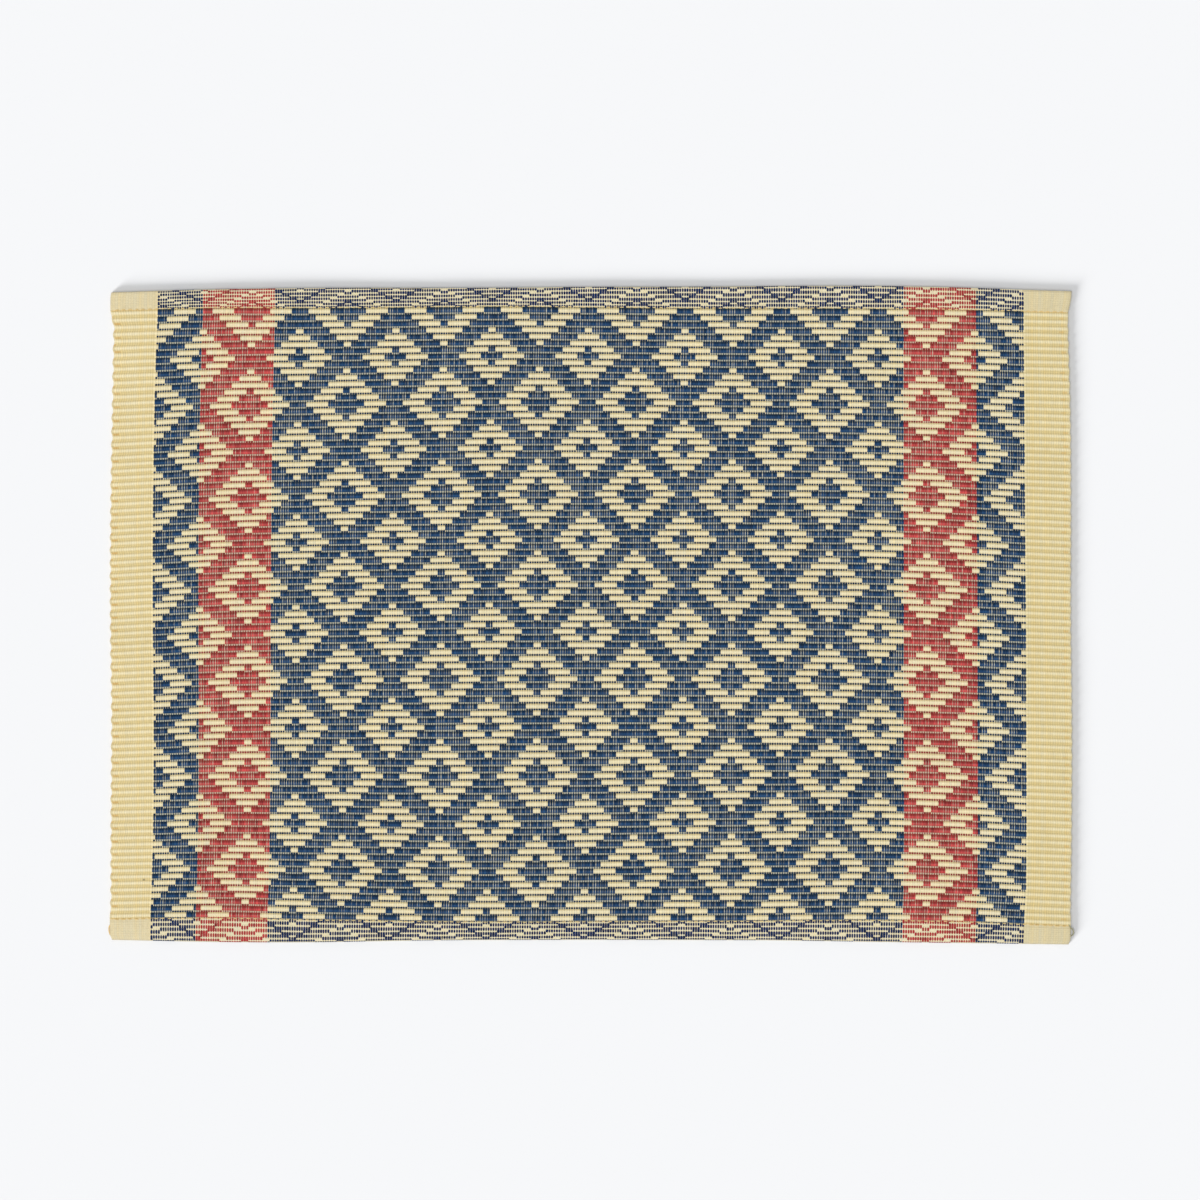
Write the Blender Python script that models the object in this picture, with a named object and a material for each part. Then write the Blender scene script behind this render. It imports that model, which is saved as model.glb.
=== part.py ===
"""A rep-woven fabric placemat, 0.50 m by 0.34 m, lying flat.

One piece of cloth: thick weft ribs run across it, each long side is folded over and sewn as a hem, and the
two ends are selvedges where the weft turns. It is modelled as one closed solid, with the ribs raised on its
upper face. X runs along the ribs, Y across them, and Z is up; the underside lies on Z = 0.
"""

from collections import namedtuple
from math import cos, pi

import bmesh
import bpy

MM = 0.001

# Ribs, in millimetres
RIBS = 92              # thick weft picks, counted from the far hem to the near one
RIB_PITCH = 3.45
RIB_TOP = 3.0          # height of a rib's crest
GROOVE_TOP = 2.1       # height of the groove between two ribs, where the thin pick lies
CREST_HALF = 0.22      # half of the crest's width, in ribs

# Edges and hems, in millimetres
HALF_WIDTH = 250.0
HALF_DEPTH = 170.0
SIDE_HEIGHT = 1.3      # height of the edge's outermost line
SHOULDER = 1.2         # how far in from the edge the cloth reaches its full height
SHOULDER_DROP = 0.35   # how much lower the cloth is on that line
FOOT_INSET = 0.6       # how far in from the edge the underside touches down
HEM_TOP = 2.6          # two layers of thin-weft cloth
HEM_FLAT = 2.4         # distance from the fold to the flat of the hem
SEAM_TOP = 1.9         # the stitches pull the cloth down along the hem's inner line
SEAM_BAND = 1.1        # width of the slope from the hem down to the stitches
TURN = 0.5             # how far the turning weft bulges out of a selvedge
TURN_RIBS = 2          # ribs from one bulge to the next
CENTRE_SHIFT_Y = 0.5   # the middle rib gap lies this far beyond the footprint's middle

COLUMNS = 8            # stretches that a rib is divided into between the shoulders

# The cloth isn't quite square, and its ribs bow. Each section is a line across the cloth, seven of them evenly
# spaced from the first rib to the last. rise is how far the ribs lie beyond their straight line there, at six
# places from the left edge to the right one. left_gap and right_gap are how far the edges stop short of
# HALF_WIDTH.
Section = namedtuple("Section", "rise left_gap right_gap")
SECTIONS = [
    Section((-0.4, 1.1, 1.6, 0.8, 0.6, -1.4), 0.9, 1.8),
    Section((-2.8, 0.9, 2.1, 1.6, 0.7, -2.2), 1.4, 0.8),
    Section((-3.1, 1.2, 2.2, 2.5, 2.0, -2.3), 0.8, 0.4),
    Section((-1.6, 2.5, 3.4, 3.3, 2.2, -2.0), 0.7, 0.5),
    Section((-1.4, 1.8, 2.2, 2.4, 1.6, -1.8), 1.3, 0.0),
    Section((-1.0, 0.4, -0.5, 0.5, 0.9, -3.2), 1.0, 0.1),
    Section((0.0, 0.2, -1.1, -0.8, -0.3, -4.4), 0.4, 0.5),
]

# The two folds. rise is how far the fold lies beyond HALF_DEPTH, at the same six places; the flares are how far
# the hem's two ends reach past the selvedges.
Fold = namedtuple("Fold", "rise left_flare right_flare")
FAR_FOLD = Fold((-2.0, -0.2, 0.1, 0.7, 1.0, -1.7), 0.6, 1.5)
NEAR_FOLD = Fold((-2.4, -0.5, -1.3, -1.3, -0.3, 1.0), 0.7, 0.9)

CREAM = (0.83, 0.74, 0.47)


def smooth(values, share):
    """The value at a share (0 to 1) of the way along evenly spaced values, on a smooth curve through them."""
    place = min(max(share, 0.0), 1.0) * (len(values) - 1)
    start = min(int(place), len(values) - 2)
    part = place - start
    here, there = values[start], values[start + 1]
    before = values[start - 1] if start > 0 else 2 * here - there
    after = values[start + 2] if start + 2 < len(values) else 2 * there - here
    slope_here = (there - before) / 2
    slope_there = (after - here) / 2
    return (here * (1 + 2 * part) * (1 - part) ** 2 + slope_here * part * (1 - part) ** 2
            + there * part ** 2 * (3 - 2 * part) - slope_there * part ** 2 * (1 - part))


def share_down(rib):
    return (rib - 1) / (RIBS - 1)


def rib_line_y(across, rib):
    """Y of a rib's line at a share of the way from the left edge to the right one."""
    rise = smooth([smooth(section.rise, across) for section in SECTIONS], share_down(rib))
    return ((RIBS + 1) / 2 - rib) * RIB_PITCH + rise + CENTRE_SHIFT_Y


def edges_x(rib):
    """X of the left and right selvedges at a rib, with the bulges of the turning weft."""
    down = share_down(rib)
    bulge = TURN * (1 - cos(2 * pi * (rib - 0.5) / TURN_RIBS)) / 2
    left = -HALF_WIDTH + smooth([section.left_gap for section in SECTIONS], down) - bulge
    right = HALF_WIDTH - smooth([section.right_gap for section in SECTIONS], down) + bulge
    return left, right


def points_across(left, right, line_y, height, edge_height):
    """One line of points from the left edge to the right one, lower on the shoulders and the edges."""
    width = right - left
    shoulder = SHOULDER / width
    inner = [shoulder + (1 - 2 * shoulder) * step / COLUMNS for step in range(COLUMNS + 1)]
    points = []
    for across in [0.0, *inner, 1.0]:
        if across in (0.0, 1.0):
            z = edge_height
        elif across in (inner[0], inner[-1]):
            z = max(height - SHOULDER_DROP, edge_height)
        else:
            z = height
        points.append((left + width * across, line_y(across), z))
    return points


def rib_rows():
    """The raised ribs: a groove, then the two sides of each crest, and a last groove."""
    rows = []
    for rib in range(1, RIBS + 1):
        for place, height in ((-0.5, GROOVE_TOP), (-CREST_HALF, RIB_TOP), (CREST_HALF, RIB_TOP)):
            if rib == 1 and place == -0.5:
                continue
            left, right = edges_x(rib + place)
            rows.append(points_across(
                left, right, lambda across, line=rib + place: rib_line_y(across, line), height, SIDE_HEIGHT))
    return rows


def hem_rows(fold, seam_line, side):
    """A hem from its fold inward to its stitches. side is 1 at the far hem and -1 at the near one."""
    selvedges = edges_x(seam_line)
    left = selvedges[0] - fold.left_flare
    right = selvedges[1] + fold.right_flare

    def fold_y(across):
        return side * (HALF_DEPTH + smooth(fold.rise, across))

    def seam_y(across):
        return rib_line_y(across, seam_line)

    rows = [
        points_across(left, right, fold_y, SIDE_HEIGHT, SIDE_HEIGHT),
        points_across(left, right, lambda across: fold_y(across) - side * SHOULDER,
                      HEM_TOP - SHOULDER_DROP, SIDE_HEIGHT),
        points_across(left, right, lambda across: fold_y(across) - side * HEM_FLAT, HEM_TOP, SIDE_HEIGHT),
        points_across(left, right, lambda across: seam_y(across) + side * SEAM_BAND, HEM_TOP, SIDE_HEIGHT),
        points_across(*selvedges, seam_y, SEAM_TOP, SIDE_HEIGHT),
    ]
    return rows if side > 0 else rows[::-1]


def add_faces(mesh, rows):
    """The closed skin: the upper face, the edge all round and the flat underside."""
    def add_point(x, y, z):
        return mesh.verts.new((x * MM, y * MM, z * MM))

    def foot(point, inward_x, inward_y):
        return add_point(point[0] + inward_x * FOOT_INSET, point[1] + inward_y * FOOT_INSET, 0.0)

    def foot_line(row, inward_y):
        inward_x = [1, *[0] * (len(row) - 2), -1]
        return [foot(point, inward, inward_y) for point, inward in zip(row, inward_x)]

    upper = [[add_point(*point) for point in row] for row in rows]
    lower = [foot_line(rows[0], -1)]
    lower += [[foot(row[0], 1, 0), foot(row[-1], -1, 0)] for row in rows[1:-1]]
    lower += [foot_line(rows[-1], 1)]

    last = len(rows) - 2
    for row in range(last + 1):
        for column in range(len(upper[row]) - 1):
            mesh.faces.new((upper[row][column], upper[row + 1][column],
                            upper[row + 1][column + 1], upper[row][column + 1]))
        mesh.faces.new((upper[row][0], lower[row][0], lower[row + 1][0], upper[row + 1][0]))
        mesh.faces.new((upper[row][-1], upper[row + 1][-1], lower[row + 1][-1], lower[row][-1]))
        near_line = lower[row + 1] if row == last else [lower[row + 1][0], lower[row + 1][-1]]
        far_line = lower[row] if row == 0 else [lower[row][0], lower[row][-1]]
        mesh.faces.new([*far_line, *reversed(near_line)])
    for edge, above, below in ((0, upper[0], lower[0]), (1, upper[-1], lower[-1])):
        for column in range(len(above) - 1):
            corners = (above[column], above[column + 1], below[column + 1], below[column])
            mesh.faces.new(corners if edge == 0 else corners[::-1])


def cloth_material():
    material = bpy.data.materials.new("woven_cotton")
    material.use_nodes = True
    shader = material.node_tree.nodes["Principled BSDF"]
    shader.inputs["Base Color"].default_value = (*CREAM, 1.0)
    shader.inputs["Roughness"].default_value = 0.9
    shader.inputs["Metallic"].default_value = 0.0
    return material


def build_placemat():
    rows = [
        *hem_rows(FAR_FOLD, 0.5, 1),
        *rib_rows(),
        *hem_rows(NEAR_FOLD, RIBS + 0.5, -1),
    ]
    mesh = bmesh.new()
    add_faces(mesh, rows)
    bmesh.ops.recalc_face_normals(mesh, faces=mesh.faces)
    bmesh.ops.triangulate(mesh, faces=mesh.faces)
    data = bpy.data.meshes.new("placemat")
    mesh.to_mesh(data)
    mesh.free()
    data.materials.append(cloth_material())
    data.shade_smooth()
    placemat = bpy.data.objects.new("placemat", data)
    bpy.context.scene.collection.objects.link(placemat)
    return placemat


for old in list(bpy.data.objects):
    bpy.data.objects.remove(old)
build_placemat()
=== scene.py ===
"""The looks of a rep-woven fabric placemat, 0.50 m by 0.34 m, lying flat on a pale floor.

The cloth is warp-faced. Pairs of warp ends, one dark and one light, run along Y. Thick weft picks (the
ribs) and thin ones take turns across it, and over each pick either the dark or the light ends lie on top.
Between the borders every end is a column of faces here, which widens where the end is up and narrows where
it is down, so that the pattern is part of the mesh. The hems are woven with thin picks alone. Sizes are in
millimetres until a mesh is made, and ribs are counted from the far hem to the near one, as in the part's
source.
"""

from collections import namedtuple

import bpy
import numpy as np
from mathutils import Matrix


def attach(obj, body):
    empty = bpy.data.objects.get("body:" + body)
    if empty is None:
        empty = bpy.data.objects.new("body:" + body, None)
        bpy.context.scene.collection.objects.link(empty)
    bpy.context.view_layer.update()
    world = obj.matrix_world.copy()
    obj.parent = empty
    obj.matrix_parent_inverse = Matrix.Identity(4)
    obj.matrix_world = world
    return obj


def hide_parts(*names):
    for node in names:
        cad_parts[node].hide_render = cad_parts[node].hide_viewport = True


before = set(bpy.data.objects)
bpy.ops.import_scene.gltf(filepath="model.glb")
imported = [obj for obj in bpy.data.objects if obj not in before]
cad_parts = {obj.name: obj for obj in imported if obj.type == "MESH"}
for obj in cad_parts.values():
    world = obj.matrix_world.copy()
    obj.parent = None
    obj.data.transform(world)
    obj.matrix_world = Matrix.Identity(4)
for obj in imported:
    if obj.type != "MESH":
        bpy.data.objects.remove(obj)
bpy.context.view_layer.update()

MM = 0.001
rng = np.random.default_rng(92)

# The part's own sizes, as in its source
RIBS = 92
RIB_PITCH = 3.45
HALF_WIDTH = 250.0
HALF_DEPTH = 170.0
CENTRE_SHIFT_Y = 0.5
SEAM_TOP = 1.9
FAR_SEAM = 0.5
NEAR_SEAM = RIBS + 0.5

Section = namedtuple("Section", "rise left_gap right_gap")
SECTIONS = [
    Section((-0.4, 1.1, 1.6, 0.8, 0.6, -1.4), 0.9, 1.8),
    Section((-2.8, 0.9, 2.1, 1.6, 0.7, -2.2), 1.4, 0.8),
    Section((-3.1, 1.2, 2.2, 2.5, 2.0, -2.3), 0.8, 0.4),
    Section((-1.6, 2.5, 3.4, 3.3, 2.2, -2.0), 0.7, 0.5),
    Section((-1.4, 1.8, 2.2, 2.4, 1.6, -1.8), 1.3, 0.0),
    Section((-1.0, 0.4, -0.5, 0.5, 0.9, -3.2), 1.0, 0.1),
    Section((0.0, 0.2, -1.1, -0.8, -0.3, -4.4), 0.4, 0.5),
]
# What the part leaves out: the rest of the ribs' bow, the same all down the cloth, at evenly spaced places
# across it, what is added to it over the last ribs, and how much further in than its outline the selvedges
# lie at the seven sections
RIPPLE = (-0.05, 0.4, -0.25, -0.3, 0.0, 0.0, 0.0, -0.1, -0.1, 0.1, 0.0)
NEAR_RIPPLE = (0.2, 0.4, 0.1, 0.1, 0.0, 0.1, 0.0, -0.2, 0.1, 0.7, 0.9)
NEAR_RIPPLE_RIBS = 14
LEFT_TRIM = (0.9, -0.6, -0.8, -0.8, -0.8, -0.8, -0.3)
RIGHT_TRIM = (0.1, -0.3, -0.2, -0.2, -0.3, -0.3, 0.0)

# rise and ripple are how far out each fold lies, in the part and beyond it, at evenly spaced places. The
# four after them are how far the hem's ends stand out past the selvedges, at the seam and at the fold. lean
# is how far the ends of the warp move to the right there at five places, corner is how far the hem's ends
# draw in round the fold, rows is how many double rows of picks there are from the seam to the fold at six
# places, crowding is how much closer they lie at the seam, and last is the double row that reaches the
# underside.
Fold = namedtuple(
    "Fold", "side seam rise ripple left_seam left_end right_seam right_end lean corner rows crowding last")
FAR_FOLD = Fold(
    side=1, seam=FAR_SEAM, rise=(-2.0, -0.2, 0.1, 0.7, 1.0, -1.7),
    ripple=(0.1, 0.6, 0.5, 0.4, 0.4, 0.5, 0.3, 0.3, 0.4, 0.6, 0.4),
    left_seam=2.0, left_end=2.1, right_seam=0.3, right_end=2.5,
    lean=(0.4, -0.1, -0.1, 0.0, 0.1), corner=0.4,
    rows=(6.4, 6.0, 5.5, 5.2, 5.3, 5.5), crowding=0.17, last=7.5)
NEAR_FOLD = Fold(
    side=-1, seam=NEAR_SEAM, rise=(-2.4, -0.5, -1.3, -1.3, -0.3, 1.0),
    ripple=(1.0, 0.9, 0.4, -0.1, 0.0, 0.0, 0.0, -0.2, 0.0, 0.0, 0.0),
    left_seam=0.6, left_end=0.3, right_seam=0.3, right_end=0.5,
    lean=(-0.1, -0.4, -0.2, -0.3, -1.0), corner=0.8,
    rows=(4.8, 4.7, 4.7, 4.7, 4.7, 4.8), crowding=0.0, last=6.0)
LEAN_RIBS = 6          # ribs over which the ends come to lean
FOLD_LEAN = 0.5        # how much more they lean at the fold, as a share
SEAM_RIBS = 2.5        # ribs over which the selvedges widen towards a seam
END_SHARES = 24        # the hem's ends stand out over the outermost of this many equal shares of its width
CORNER_REACH = 1.6     # how far to either side of the bend's start the hem's ends draw in
FAR_TOP_ROWS = 6.5     # double rows whose picks are drawn in full, from the seam to a little past the fold
NEAR_TOP_ROWS = 5.0
FOLD_RADIUS = 1.3
SEAM_SLOPE = 1.6       # how far out from the stitches the hem reaches its full height
PICK_RELIEF = 0.16     # how much a thin pick stands out between two others
# Where the three lines on each pick of a hem lie, as shares of it, for the pairs whose dark end is up there
# and for the others, which are crowded by the dark ends of the picks beside them
HEM_STEPS_UP = (0.04, 0.5, 0.96)
HEM_STEPS_DOWN = (0.39, 0.5, 0.61)

# Across a rib: the place of each line, in ribs from the rib's middle, its height, how much of the painted
# groove shade it takes, in the pattern and in a border, the pick that it lies on, and the share of a pair's
# width that the dark end takes there, where it is up and where it is down. The last is how light the dark
# ends are on the faces that lead to the line from the one before: below 1 it is painted shade, in the
# grooves and on the far flank, and above 1 a painted highlight on the near flank.
RibLine = namedtuple("RibLine", "place height depth border_depth kind up down dark_tone")
RIB_LINES = [
    RibLine(-0.35, 2.24, 1.15, 1.10, "thick", 0.93, 0.11, 0.80),
    RibLine(0.0, 3.00, 0.0, 0.0, "thick", 0.74, 0.02, 0.66),
    RibLine(0.355, 2.25, 0.35, 1.10, "thick", 0.88, 0.08, 1.10),
    RibLine(0.375, 2.12, 0.30, 1.15, "thin", 0.80, 0.20, 0.60),
    RibLine(0.625, 2.12, 0.30, 1.1, "thin", 0.80, 0.45, 0.50),
]
LAST_THICK_STRIP = 3   # the last of a rib's strips, counted from 0, that lies on the thick pick
CREST_HEIGHT = 3.0
SWELL_FROM = 2.0       # height from which a rib's own swell counts
DARK_UP_HEM = 0.81
DARK_DOWN_HEM = 0.02
DARK_FLOAT = 0.90      # where the dark end lies over two picks
WIDEST = 0.95
NARROWEST = 0.02
WIDTH_UNEVEN = 0.07
SPREAD = 0.12          # how far a wide end spreads over a neighbour, as a share of their difference
HEM_GROOVE_SHADE = 0.25       # how much of the painted groove shade a hem takes between its picks
SEAM_GROOVE_SHADE = 1.0       # and how much it takes at the seam, in the pattern and in a border
SEAM_BORDER_GROOVE_SHADE = 0.3
PATTERN_KINDS = ("thick", "hem")

# The warp
PAIR_PITCH = 1.26
FIRST_PAIR = -76
MIDDLE_PAIR = 121.1
# How far the pairs lie right of their straight line, at five places from the left edge to the right one and
# at the same seven sections
DRIFT = [
    (1.9, 1.2, 0.3, -0.2, -1.1),
    (0.4, 0.0, -0.6, -0.5, -0.4),
    (-0.3, -0.6, -1.0, -0.6, 0.0),
    (-0.3, -1.0, -1.1, -0.7, 0.6),
    (0.3, -1.3, -1.4, -0.8, 0.8),
    (0.2, -1.8, -1.5, -0.7, 1.0),
    (-1.2, -2.5, -2.1, -0.9, 0.6),
]
Stripe = namedtuple("Stripe", "yarn pairs")
STRIPES = [
    Stripe("cream", 17), Stripe("blue", 19), Stripe("red", 30), Stripe("blue", 261),
    Stripe("red", 30), Stripe("blue", 20), Stripe("cream", 18),
]
PAIRS = sum(stripe.pairs for stripe in STRIPES)
pairs = FIRST_PAIR + np.arange(PAIRS)
stripe_yarn = np.repeat([stripe.yarn for stripe in STRIPES], [stripe.pairs for stripe in STRIPES])
LEFT_BORDER = STRIPES[0].pairs
RIGHT_BORDER = STRIPES[-1].pairs
inner = np.arange(LEFT_BORDER, PAIRS - RIGHT_BORDER)

# The draft: rings of light ends, in two sizes, that stand in turn across the cloth
Ring = namedtuple("Ring", "reach pair row")
RINGS = [Ring(13.5, 0, 8), Ring(16.5, 20, 1)]
RING_WIDTH = 9
STEP = 3               # pairs that a ring's edge moves at each rib
REPEAT_PAIRS = 40
REPEAT_ROWS = 14

# The selvedges: distance from the edge and share of the full height, from the foot to the cloth's top
EDGE_STEPS = [(0.55, 0.01), (0.12, 0.24), (0.0, 0.50), (0.22, 0.76), (0.65, 0.93), (1.3, 1.0)]
LEFT_TURN = (0.45, 0.0)    # how far the turning weft bulges at the left edge, and the rib where it does so
RIGHT_TURN = (0.22, 1.3)
TURN_RIBS = 2
EDGE_FILL = 1.6            # how far in from an edge the turning weft fills the grooves
EDGE_FILL_SHARE = 0.5

BACK_HEM_ROWS = 4.5        # double rows in the flap that each hem turns under
BACK_HEIGHT = 0.02
BACK_GROOVE = 0.45


def linear(red, green, blue):
    """A colour given as on a screen, 0 to 255, in the linear values that a material takes."""
    screen = np.array([red, green, blue]) / 255
    return np.where(screen <= 0.04045, screen / 12.92, ((screen + 0.055) / 1.055) ** 2.4)


CREAM = linear(240, 228, 190)
OCHRE = linear(230, 199, 144)
DARK = {"blue": linear(25, 63, 103), "red": linear(187, 70, 70), "cream": linear(236, 221, 180)}
# The same yarns in the hems, where blue and red are set darker so that the small dots keep their contrast
HEM_DARK = {"blue": linear(0, 31, 77), "red": linear(164, 48, 50), "cream": linear(236, 221, 180)}
SHADED_PEEK = linear(205, 201, 182)         # a light end seen deep between two dark ones, painted in their shade
SEAM_OCHRE = linear(228, 197, 132)
# Painted shade in the grooves and on the ribs' far flanks: what the colour is multiplied by where its share
# is full
GROOVE_SHADE_TINT = np.array([0.82, 0.76, 0.60])
# Painted shade on the light ends of a thin pick, deep between the ribs, where they are up and where they lie
# between two dark ones
THIN_SHADE_SHARE = 0.35      # how much of the dark ends' colour the former take
THIN_SHADE_TINT = np.array([0.79, 0.87, 1.0])
GAP_SHADE_TINT = np.array([0.90, 0.92, 0.96])
# What the light ends are multiplied by: in a hem's pattern and in its borders, and in the right border
HEM_TINT = np.array([0.96, 0.98, 1.04])
HEM_BORDER_TINT = np.array([0.87, 0.86, 0.86])
RIGHT_BORDER_TINT = np.array([0.95, 0.95, 0.92])


def by_pair(table):
    """One colour for each pair, by its stripe."""
    return np.array([table[yarn] for yarn in stripe_yarn])


def curve_weights(share, count):
    """Weights that draw a smooth curve through evenly spaced values, at a share of the way along them."""
    place = np.clip(share, 0.0, 1.0) * (count - 1)
    start = np.minimum(place.astype(int), count - 2)
    part = place - start
    weights = np.zeros(share.shape + (count + 2,))
    for step, weight in enumerate((
        -part * (1 - part) ** 2 / 2,
        1 - part ** 2 * (5 - 3 * part) / 2,
        part * (1 + part * (4 - 3 * part)) / 2,
        -part ** 2 * (1 - part) / 2,
    )):
        np.put_along_axis(weights, (start + step)[..., None], weight[..., None], axis=-1)
    # Past either end the curve goes on in a straight line
    weights[..., 1] += 2 * weights[..., 0]
    weights[..., 2] -= weights[..., 0]
    weights[..., -2] += 2 * weights[..., -1]
    weights[..., -3] -= weights[..., -1]
    return weights[..., 1:-1]


def smooth(values, share):
    values = np.asarray(values, float)
    return curve_weights(np.asarray(share, float), len(values)) @ values


def smooth_grid(table, down, across):
    """The value of a table of rows and columns, a share of the way down it, at shares across."""
    table = np.asarray(table, float)
    row = curve_weights(np.array([down], float), len(table))[0] @ table
    return smooth(row, across)


def ease(share):
    """A share from 0 to 1 that starts and ends gently."""
    share = np.clip(share, 0.0, 1.0)
    return share * share * (3 - 2 * share)


def share_down(rib):
    return (rib - 1) / (RIBS - 1)


RISES = [section.rise for section in SECTIONS]
LEFT_GAPS = [section.left_gap for section in SECTIONS]
RIGHT_GAPS = [section.right_gap for section in SECTIONS]

# Small unevenness of the ribs, at evenly spaced places across the cloth, and of the pairs, which each share
# with the ones beside them
WOBBLES = 26
RIB_WOBBLE = 0.05
RIB_SWELL = 0.05
PAIR_WOBBLE = 0.07
PAIR_GAIN = 1.6
PAIRS_SHARING = 5
rib_wobble = rng.normal(0, RIB_WOBBLE, (RIBS + 2, WOBBLES))
rib_swell = rng.normal(0, RIB_SWELL, (RIBS + 2, WOBBLES))
pair_wobble = rng.normal(0, PAIR_WOBBLE, PAIRS + PAIRS_SHARING - 1)
pair_wobble = np.convolve(pair_wobble, np.ones(PAIRS_SHARING) / PAIRS_SHARING, "valid") * PAIR_GAIN

ROWS_BEFORE = 14       # rows of the draft before the first rib, and after the last, that a hem may reach
ROWS = RIBS + 2 * ROWS_BEFORE


def uneven(lasting, passing, own, keep):
    """Unevenness of every end on every pick: a part that lasts all along the end, one that passes after some
    ribs, of which a share keep stays from one rib to the next, and one of each pick's own."""
    last = rng.normal(0, 1, PAIRS)
    run = rng.normal(0, 1, PAIRS)
    table = np.empty((ROWS, 2, PAIRS))
    for row in range(ROWS):
        run = keep * run + np.sqrt(1 - keep ** 2) * rng.normal(0, 1, PAIRS)
        table[row] = lasting * last + passing * run + own * rng.normal(0, 1, (2, PAIRS))
    return table


SHARED = 0.13          # how much of the unevenness of each end beside it an end takes on


def shared(table):
    """Unevenness that each end shares in part with the ones beside it."""
    beside = np.roll(table, 1, axis=-1) + np.roll(table, -1, axis=-1)
    return (table + SHARED * beside) / np.sqrt(1 + 2 * SHARED ** 2)


peek_table = shared(uneven(0.42, 0.5, 0.76, 0.6))
tone_table = uneven(0.3, 0.6, 0.75, 0.6)
width_table = uneven(0.3, 0.0, 0.95, 0.0)


def at_rib(table, rib, across):
    """A rib's unevenness, shared with the next rib between the two."""
    first = min(max(int(np.floor(rib)), 0), RIBS)
    part = min(max(rib - first, 0.0), 1.0)
    return smooth(table[first] * (1 - part) + table[first + 1] * part, across)


def rib_line_y(across, rib):
    rise = smooth_grid(RISES, share_down(rib), across) + smooth(RIPPLE, across)
    rise += smooth(NEAR_RIPPLE, across) * ease((rib - RIBS + NEAR_RIPPLE_RIBS) / NEAR_RIPPLE_RIBS)
    return ((RIBS + 1) / 2 - rib) * RIB_PITCH + rise + CENTRE_SHIFT_Y + at_rib(rib_wobble, rib, across)


def turn(bulge, rib):
    size, crest = bulge
    return size * np.cos(2 * np.pi * (rib - crest) / TURN_RIBS)


def edges_x(rib):
    """X of the two selvedges. They widen towards the hems' ends, and bulge where the weft turns."""
    down = share_down(rib)
    left = -HALF_WIDTH + smooth(LEFT_GAPS, down) + smooth(LEFT_TRIM, down)
    right = HALF_WIDTH - smooth(RIGHT_GAPS, down) - smooth(RIGHT_TRIM, down)
    free = 1.0
    for fold in (FAR_FOLD, NEAR_FOLD):
        near_hem = max(0.0, 1 - abs(rib - fold.seam) / SEAM_RIBS)
        left -= fold.left_seam * near_hem
        right += fold.right_seam * near_hem
        free -= near_hem
    return left - turn(LEFT_TURN, rib) * free, right + turn(RIGHT_TURN, rib) * free


def light_up(row):
    """For each pair, whether its light end is up on the thick pick of this row."""
    up = np.zeros(PAIRS, bool)
    for ring in RINGS:
        across = np.abs((pairs - ring.pair + REPEAT_PAIRS / 2) % REPEAT_PAIRS - REPEAT_PAIRS / 2)
        down = abs((row - ring.row + REPEAT_ROWS / 2) % REPEAT_ROWS - REPEAT_ROWS / 2)
        inside = ring.reach - STEP * down - across
        up |= (inside > 0) & (inside < RING_WIDTH)
    return up


# kind is thick, thin, hem or hem under. A thin pick and a hem under one show what the pick before them
# hides.
Pick = namedtuple("Pick", "row kind")


def dark_shows(pick):
    """For each pair, whether its dark end is up on this pick."""
    if pick.kind in PATTERN_KINDS:
        return ~light_up(pick.row)
    return light_up(pick.row)


def dark_floats(pick):
    """For each pair, whether its dark end is up on this pick and also on the one beside it."""
    if pick.kind in PATTERN_KINDS:
        return dark_shows(pick) & light_up(pick.row - 1)
    return dark_shows(pick) & ~light_up(pick.row + 1)


def of_pick(table, pick):
    return table[pick.row + ROWS_BEFORE, 0 if pick.kind in PATTERN_KINDS else 1]


def dark_width(pick, up, down):
    """The share of each pair's width that its dark end takes on this pick."""
    width = np.where(dark_shows(pick), up, down)
    if pick.kind != "thick":
        width = np.where(dark_floats(pick), DARK_FLOAT, width)
    return (width * (1 + WIDTH_UNEVEN * of_pick(width_table, pick))).clip(NARROWEST, WIDEST)


def column_edges(width):
    """Where the columns' edges lie, in pairs. A border has a column for each pair. Between the borders every
    dark end and the light end right of it have a column each."""
    wide = width[inner]
    left = pairs[inner] - wide / 2
    right = pairs[inner] + wide / 2
    # A wide end spreads a little over a narrower neighbour
    step = np.diff(wide)
    left[1:] -= SPREAD * step.clip(0, 1)
    right[:-1] += SPREAD * (-step).clip(0, 1)
    ends = np.stack([left, right], -1).ravel()
    return np.concatenate([pairs[:LEFT_BORDER] - 0.5, ends, pairs[-RIGHT_BORDER:] + 0.5])


# For each column between the two shoulders: its pair, and whether it is a dark end's
column_pair = np.concatenate([
    np.arange(LEFT_BORDER), np.repeat(inner, 2)[:-1], np.arange(PAIRS - RIGHT_BORDER, PAIRS)])
column_is_dark = np.concatenate([
    np.zeros(LEFT_BORDER, bool), np.tile([True, False], len(inner))[:-1], np.zeros(RIGHT_BORDER, bool)])
SHOULDER_STEPS = len(EDGE_STEPS) - 1
column_line_shading = np.pad((stripe_yarn[column_pair] == "cream").astype(float), SHOULDER_STEPS)


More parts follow.
